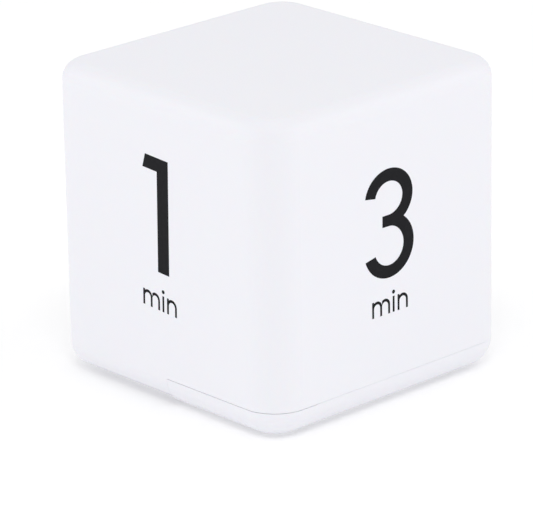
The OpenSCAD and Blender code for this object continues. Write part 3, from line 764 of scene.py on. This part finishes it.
def make_cell(node, flip):
    """A cell with a shrink jacket, end caps and a button. flip is 1 where the button points to +Y."""
    low, high = box_mm(node)
    axis_x, axis_z = cell_axis(node)
    r, length = (high.x - low.x) / 2, high.y - low.y
    tail = axis_x, low.y if flip > 0 else high.y, axis_z
    nub_r, nub_len = 1.9, 0.8
    shoulder = length - nub_len
    jacket, band, metal, washer = range(4)
    tail_end = [(0, 0.12), (r - 1.9, 0.12), (r - 1.5, 0.0), (r - 0.95, 0.0), (r - 0.85, 0.18)]
    sleeve = [(r - 0.75, 0.02), (r - 0.3, 0.0), (r - 0.08, 0.12), (r, 0.35)]
    stripe = [(r, 0.72 * length), (r, 0.74 * length)]
    sleeve_end = [(r, shoulder - 0.35), (r - 0.08, shoulder - 0.12), (r - 0.3, shoulder),
                  (r - 0.8, shoulder)]
    insulator = [(r - 0.9, shoulder - 0.2), (nub_r + 0.75, shoulder - 0.2)]
    button = [(nub_r + 0.7, shoulder - 0.05), (nub_r + 0.15, shoulder), (nub_r, shoulder + 0.1),
              (nub_r, length - 0.2), (nub_r - 0.06, length - 0.06), (nub_r - 0.2, length), (0, length)]
    profile = tail_end + sleeve + stripe + sleeve_end + insulator + button
    marks = [metal] * len(tail_end) + [jacket] * len(sleeve) + [band] + [jacket] * len(sleeve_end)
    marks += [washer] * len(insulator) + [metal] * len(button)
    cell = Build()
    cell.add(lathe(profile, along_y(tail, flip), 64), lathe_marks(marks, 64))

    def wrap(u, v, w):
        """u round the jacket from its lowest line, v along the cell from its tail."""
        a = u / r
        return (tail[0] + (r + w) * math.sin(a), tail[1] + v * flip, tail[2] - (r + w) * math.cos(a))

    half, arm = 0.3, 1.3
    minus = [(-arm, -half), (arm, -half), (arm, half), (-arm, half)]
    plus = cross_outline(arm, half)
    signs = shift([[minus]], 0, 5.0) + shift([[plus]], 0, length - 5.5)
    cell.add(prism([[fine_loop(loop) for loop in loops] for loops in signs], -0.05, 0.015, wrap), band)
    cell.piece(node + "_jacketed", [jacket_blue, jacket_silver, nickel, washer_white], "cell_jacket",
               replaces=(node,))


def fine_loop(loop, step=0.35):
    """Adds points along a loop's edges, so that it follows a curved surface."""
    out = []
    for (u0, v0), (u1, v1) in zip(loop, loop[1:] + loop[:1]):
        n = max(1, int(math.hypot(u1 - u0, v1 - v0) / step))
        out += [(u0 + (u1 - u0) * i / n, v0 + (v1 - v0) * i / n) for i in range(n)]
    return out


def make_spring(node, cell_node, flip):
    """Conical spring of round wire, from its plate to the cell. flip is 1 where it points to +Y."""
    low, high = box_mm(node)
    axis_x, axis_z = cell_axis(cell_node)
    wire, turns, steps = 0.3, 3.5, 40
    base_r, tip_r = 3.4, 2.4
    closed_turns = 0.75
    rise = high.y - low.y - 2 * wire
    plate_y = low.y if flip > 0 else high.y
    path = []
    for k in range(int(turns * steps) + 1):
        lift = max(0, min(1, (k / steps - closed_turns) / (turns - 2 * closed_turns)))
        r, a = base_r + (tip_r - base_r) * lift, math.tau * k / steps
        y = plate_y + flip * (wire + rise * lift)
        path.append((axis_x + r * math.cos(a), y, axis_z + r * math.sin(a)))
    coil = Build()
    coil.add(tube(path, wire, 12))
    coil.piece(node + "_coil", [nickel], "contact_nickel", replaces=(node,))


def blob(at, size, squash=1.0):
    """A rounded lump of solder."""
    profile = [(size * math.sin(a), -size * squash * math.cos(a))
               for a in (math.pi * k / 12 for k in range(13))]
    return lathe(profile, upright(at), 24)


def make_wire(node, surface, route, radius):
    """A wire with bare ends. make_wires puts a lump of solder on each end."""
    path = smooth_path(route, 8)
    wire = Build()
    wire.add(tube(path, radius, 16), 0)
    for end, before in ((path[0], path[1]), (path[-1], path[-2])):
        out = (end - before).normalized()
        wire.add(tube([end - out * 0.2, end + out * 0.7], 0.55 * radius, 12), 1)
    wire.piece(node + "_drawn", [surface, tin], node, replaces=(node,))
    return path


def make_wires():
    left_x, right_x = cell_axis("battery_left")[0], cell_axis("battery_right")[0]
    tag = box_mm("contact_positive")
    radius, clear = 0.65, 0.05
    tag_y = tag[0].y - radius - clear
    tag_z = tag[1].z - 0.6
    pad_z = box_mm("circuit_board")[1].z + radius + clear
    red = [(left_x + 0.4, tag_y, tag_z), (9, tag_y, tag_z + 0.4), (6, 23, tag_z + 0.6),
           (3.2, 22.6, tag_z - 0.6), (1.8, 23, pad_z + 0.9), (0.6, 23.6, pad_z), (-1, 24, pad_z)]
    black = [(right_x + 0.4, tag_y, tag_z), (20, tag_y - 0.6, tag_z + 0.4), (15, 19, tag_z + 0.5),
             (8, 17, tag_z + 0.6), (4.6, 16.6, tag_z + 0.3), (2.7, 16.6, tag_z - 1.1),
             (1.9, 16.6, pad_z + 1), (0.8, 16.8, pad_z), (-0.8, 17, pad_z)]
    lumps = Build()
    for node, surface, route in (("wire_red", wire_red, red), ("wire_black", wire_black, black)):
        path = make_wire(node, surface, route, radius)
        lumps.add(blob((path[0].x, tag[0].y - 0.2, tag_z), 0.85, 0.8))
        lumps.add(blob((path[-1].x - 0.5, path[-1].y, pad_z - radius), 1.1, 0.75))
    lumps.piece("wire_solder", [solder_bright], "solder")


# ---------------------------------------------------------------- circuit board


def ring(at, outer, inner, steps=32):
    """A flat ring: its outline and its hole."""
    return [arc(at, (outer, outer), 0, 360, steps)[:-1], arc(at, (inner, inner), 0, 360, steps)[:-1]]


def stroke_line(a, b, width):
    """A straight stroke with round ends."""
    heading = math.degrees(math.atan2(b[1] - a[1], b[0] - a[0]))
    r = width / 2
    return [arc(b, (r, r), heading - 90, heading + 90, 6) + arc(a, (r, r), heading + 90, heading + 270, 6)]


def center(box):
    """X and Y of a box's middle."""
    return ((box[0].x + box[1].x) / 2, (box[0].y + box[1].y) / 2)


def make_board_details():
    """Copper under the green mask, tinned pads, white outlines and solder joints."""
    low, high = box_mm("circuit_board")
    sunk, copper_rise, pad_rise, white_rise = -0.02, 0.012, 0.018, 0.02
    leads = [center(b) for node in ("buzzer_pins", "switch_pins") for b in islands(node)]
    chip = center(box_mm("chip_blob"))
    sensor = box_mm("tilt_sensor_cup")
    sensor_r = (sensor[1].x - sensor[0].x) / 2
    chips = islands("resistors")

    def top(u, v, w):
        return (u, v, high.z + w)

    def under(u, v, w):
        return (u, v, low.z - w)

    lines, vias = [], []
    fan, fan_r = 26, 6.2
    for k in range(fan):
        a = math.tau * (k + 0.5) / fan
        start = (chip[0] + fan_r * math.cos(a), chip[1] + fan_r * math.sin(a))
        reach = 1.6 + 1.1 * (k % 3)
        knee = (start[0] + reach * math.cos(a), start[1] + reach * math.sin(a))
        step = math.copysign(1.2 + 0.4 * (k % 2), math.cos(a))
        end = (knee[0] + step, knee[1])
        lines += [stroke_line(start, knee, 0.25), stroke_line(knee, end, 0.25)]
        vias.append(end)
    edge_x = high.x - 1.2
    for k, lead in enumerate(leads):
        bend = (edge_x - 0.6 * k, lead[1])
        lines += [stroke_line(lead, bend, 0.5), stroke_line(bend, (bend[0], 0), 0.5)]
    for box_low, box_high in chips:
        y = (box_low.y + box_high.y) / 2
        lines.append(stroke_line((box_high.x + 0.3, y), (box_high.x + 2.2, y), 0.3))
    copper = Build()
    copper.add(prism(lines, sunk, copper_rise, top))
    copper.piece("board_traces", [trace_green], "board_laminate")

    pads = Build()
    drilled = [ring(lead, 0.95, 0.5) for lead in leads]
    drilled += [ring(center(b), 0.95, (b[1].x - b[0].x) / 2 + 0.1) for b in islands("tilt_sensor_pins")]
    pads.add(prism([ring(via, 0.32, 0.14, 16) for via in vias] + drilled, sunk, pad_rise, top))
    pads.add(prism(drilled, sunk, pad_rise, under))
    squares = []
    for box_low, box_high in chips:
        for x in (box_low.x, box_high.x):
            squares.append([[(x - 0.55, box_low.y - 0.1), (x + 0.55, box_low.y - 0.1),
                             (x + 0.55, box_high.y + 0.1), (x - 0.55, box_high.y + 0.1)]])
    pads.add(prism(squares, sunk, pad_rise, top))
    zebra_low, zebra_high = box_mm("zebra_strip")
    count = 26
    pitch = (zebra_high.y - zebra_low.y - 1) / count
    fingers = []
    for k in range(count):
        y = zebra_low.y + 0.5 + pitch * k
        fingers.append([[(zebra_low.x - 0.3, y), (zebra_high.x + 0.3, y),
                         (zebra_high.x + 0.3, y + 0.55 * pitch), (zebra_low.x - 0.3, y + 0.55 * pitch)]])
    pads.add(prism(fingers, sunk, pad_rise, under))
    pads.piece("board_pads", [gold], "tinned_metal")

    white = [ring(chip, 6.9, 6.7, 48), ring(center(sensor), sensor_r + 0.5, sensor_r + 0.3, 48)]
    cap = box_mm("capacitor")
    cap_r = (cap[1].x - cap[0].x) / 2
    white += [ring(center(cap), cap_r + 0.45, cap_r + 0.27, 40),
              [arc(center(cap), (cap_r + 0.27, cap_r + 0.27), 200, 340, 24)]]
    for node in ("crystal", "transistor"):
        part = box_mm(node)
        room, line, corner = 0.4, 0.16, 0.2
        u, v = (part[1].x - part[0].x) / 2 + room, (part[1].y - part[0].y) / 2 + room
        frame_line = [rounded_outline(u - inset, v - inset, corner, 3) for inset in (0, line)]
        white += shift([frame_line], *center(part))
    printed = Build()
    printed.add(prism(white, sunk, white_rise, top))
    printed.piece("board_outlines", [board_white], "board_print")

    joints = Build()
    for lead in leads:
        profile = [(0, 0), (0.9, 0), (0.86, 0.08), (0.62, 0.3), (0.45, 0.65), (0.37, 1.0), (0.3, 1.12),
                   (0, 1.14)]
        joints.add(lathe(profile, upright((lead[0], lead[1], high.z)), 24))
    joints.piece("solder_joints", [solder_bright], "solder")

    ends = Build()
    cap_len, proud = 0.42, 0.015
    for box_low, box_high in chips:
        left = (box_low.x - proud, box_low.x + cap_len)
        right = (box_high.x - cap_len, box_high.x + proud)
        for x0, x1 in (left, right):
            ends.add(soft_box((x0, box_low.y - proud, box_low.z - proud),
                              (x1, box_high.y + proud, box_high.z + proud), 0.04))
    ends.piece("resistor_ends", [tin], "tinned_metal")


def make_capacitor():
    """Sleeved can with a pale stripe, a crimp and a scored top."""
    low, high = box_mm("capacitor")
    r, h = (high.x - low.x) / 2, high.z - low.z
    at = ((low.x + high.x) / 2, (low.y + high.y) / 2, low.z)
    sleeve, metal, pale = range(3)
    jacket = [(0, 0), (r - 0.25, 0), (r, 0.25), (r, 0.8), (r - 0.18, 1.05), (r - 0.18, 1.2), (r, 1.45),
              (r, h - 0.3), (r - 0.1, h - 0.08), (r - 0.3, h)]
    lid = [(r - 0.5, h - 0.02), (r - 0.56, h - 0.12), (0, h - 0.12)]
    profile = jacket + lid
    marks = [sleeve] * len(jacket) + [metal] * (len(lid) - 1)
    can = Build()
    can.add(lathe(profile, upright(at), 56), lathe_marks(marks, 56))

    def wrap(u, v, w):
        a = u / r + math.pi / 2
        return (at[0] + (r + w) * math.cos(a), at[1] + (r + w) * math.sin(a), at[2] + v)

    stripe = fine_loop([(-0.9, 1.7), (0.9, 1.7), (0.9, h - 0.5), (-0.9, h - 0.5)], 0.2)
    can.add(prism([[stripe]], -0.03, 0.01, wrap), pale)
    reach, line, z_low, z_high, edge = 1.2, 0.07, high.z - 0.14, high.z - 0.09, 0.015
    for u, v in ((reach, line), (line, reach)):
        bar = soft_box((at[0] - u, at[1] - v, z_low), (at[0] + u, at[1] + v, z_high), edge)
        can.add(bar, metal)
    can.piece("capacitor_sleeved", [sleeve_blue, aluminium, sleeve_pale], "capacitor_sleeve",
              replaces=("capacitor",))


def make_transistor():
    """Small black body with three bent legs."""
    low, high = box_mm("transistor")
    body, leg = range(2)
    leg_len, half_w, half_t = 0.7, 0.2, 0.06
    part = Build()
    lift, edge = 0.1, 0.12
    part.add(soft_box((low.x, low.y + leg_len, low.z + lift), (high.x, high.y - leg_len, high.z), edge), body)
    middle, leg_in = (low.x + high.x) / 2, 0.475
    spots = [(low.x + leg_in, -1), (high.x - leg_in, -1), (middle, 1)]
    for x, way in spots:
        y_body = low.y + leg_len if way < 0 else high.y - leg_len
        path = [(y_body - way * 0.15, 0.62), (y_body + way * 0.2, 0.6), (y_body + way * 0.34, 0.45),
                (y_body + way * 0.38, 0.16), (y_body + way * 0.48, 0.08), (y_body + way * leg_len, 0.07)]
        corners = ((-half_w, -half_t), (half_w, -half_t), (half_w, half_t), (-half_w, half_t))
        part.add(loft([[(x + dx, y, low.z + z + dz) for dx, dz in corners] for y, z in path]), leg)
    part.piece("transistor_legged", [part_black, tin], "component_black", replaces=("transistor",))


# ---------------------------------------------------------------- stage


FLOOR_GLOW = 0.14
FLOOR_GAP = 0.1
CLEAR_GAPS = 5
SKY = 0.80


def make_floor():
    """A white floor. It is clear from below and very close by, so that the base can be looked at too."""
    half = 3.0
    data = bpy.data.meshes.new("floor")
    z = -FLOOR_GAP * MM
    corners = [(-half, -half, z), (half, -half, z), (half, half, z), (-half, half, z)]
    data.from_pydata(corners, [], [(0, 1, 2, 3)])
    surface = material("floor_white", (0.9, 0.9, 0.9), 0.8)
    nodes, links = surface.node_tree.nodes, surface.node_tree.links
    white = nodes["Principled BSDF"]
    white.inputs["Emission Color"].default_value = (1, 1, 1, 1)
    white.inputs["Emission Strength"].default_value = FLOOR_GLOW
    side = nodes.new("ShaderNodeNewGeometry")
    ray = nodes.new("ShaderNodeLightPath")
    near = nodes.new("ShaderNodeMath")
    near.operation = "LESS_THAN"
    near.inputs[1].default_value = CLEAR_GAPS * FLOOR_GAP * MM
    links.new(ray.outputs["Ray Length"], near.inputs[0])
    clear = nodes.new("ShaderNodeMath")
    clear.operation = "MAXIMUM"
    links.new(side.outputs["Backfacing"], clear.inputs[0])
    links.new(near.outputs["Value"], clear.inputs[1])
    mix = nodes.new("ShaderNodeMixShader")
    links.new(clear.outputs["Value"], mix.inputs["Fac"])
    links.new(white.outputs["BSDF"], mix.inputs[1])
    links.new(nodes.new("ShaderNodeBsdfTransparent").outputs["BSDF"], mix.inputs[2])
    links.new(mix.outputs["Shader"], nodes["Material Output"].inputs["Surface"])
    data.materials.append(surface)
    floor = bpy.data.objects.new("floor", data)
    bpy.context.scene.collection.objects.link(floor)


def area_light(name, place, aim, size, power):
    data = bpy.data.lights.new(name, "AREA")
    data.shape = "RECTANGLE"
    data.size, data.size_y = size
    data.energy = power
    light = bpy.data.objects.new(name, data)
    light.location = place
    light.rotation_euler = (Vector(aim) - Vector(place)).to_track_quat("-Z", "Y").to_euler()
    bpy.context.scene.collection.objects.link(light)


def make_lights():
    world = bpy.data.worlds.new("studio")
    world.use_nodes = True
    world.node_tree.nodes["Background"].inputs["Color"].default_value = (1, 1, 1, 1)
    world.node_tree.nodes["Background"].inputs["Strength"].default_value = SKY
    bpy.context.scene.world = world
    middle = (0, 0, TOP / 2 * MM)
    area_light("key_left", (-0.76, -0.53, 0.60), middle, (0.5, 0.5), 1.25)
    area_light("key_right", (0.53, 0.70, 0.60), middle, (0.5, 0.5), 1.25)
    area_light("key_front", (0.42, -0.39, 0.82), middle, (0.35, 0.35), 1.15)
    area_light("fill_left", (-0.25, -0.95, 0.22), middle, (0.6, 0.4), 0.30)
    area_light("fill_right", (0.95, 0.2, 0.22), middle, (0.6, 0.4), 0.21)


for node, surface in CAD_SURFACES.items():
    paint(node, surface)

make_camera()
make_lights()
make_floor()
make_numbers()
make_display()
make_switch_marks()
make_sound_mesh()
make_screws("case_screws", shank_r=1.1, head_r=1.8, head_h=1.5, pitch=0.9, flip=1)
make_screws("board_screws", shank_r=0.75, head_r=1.6, head_h=1.1, pitch=0.6, flip=-1)
make_cell("battery_left", 1)
make_cell("battery_right", -1)
make_spring("spring_link", "battery_left", 1)
make_spring("spring_negative", "battery_right", -1)
make_wires()
make_board_details()
make_capacitor()
make_transistor()

bpy.context.scene.view_settings.view_transform = "Standard"
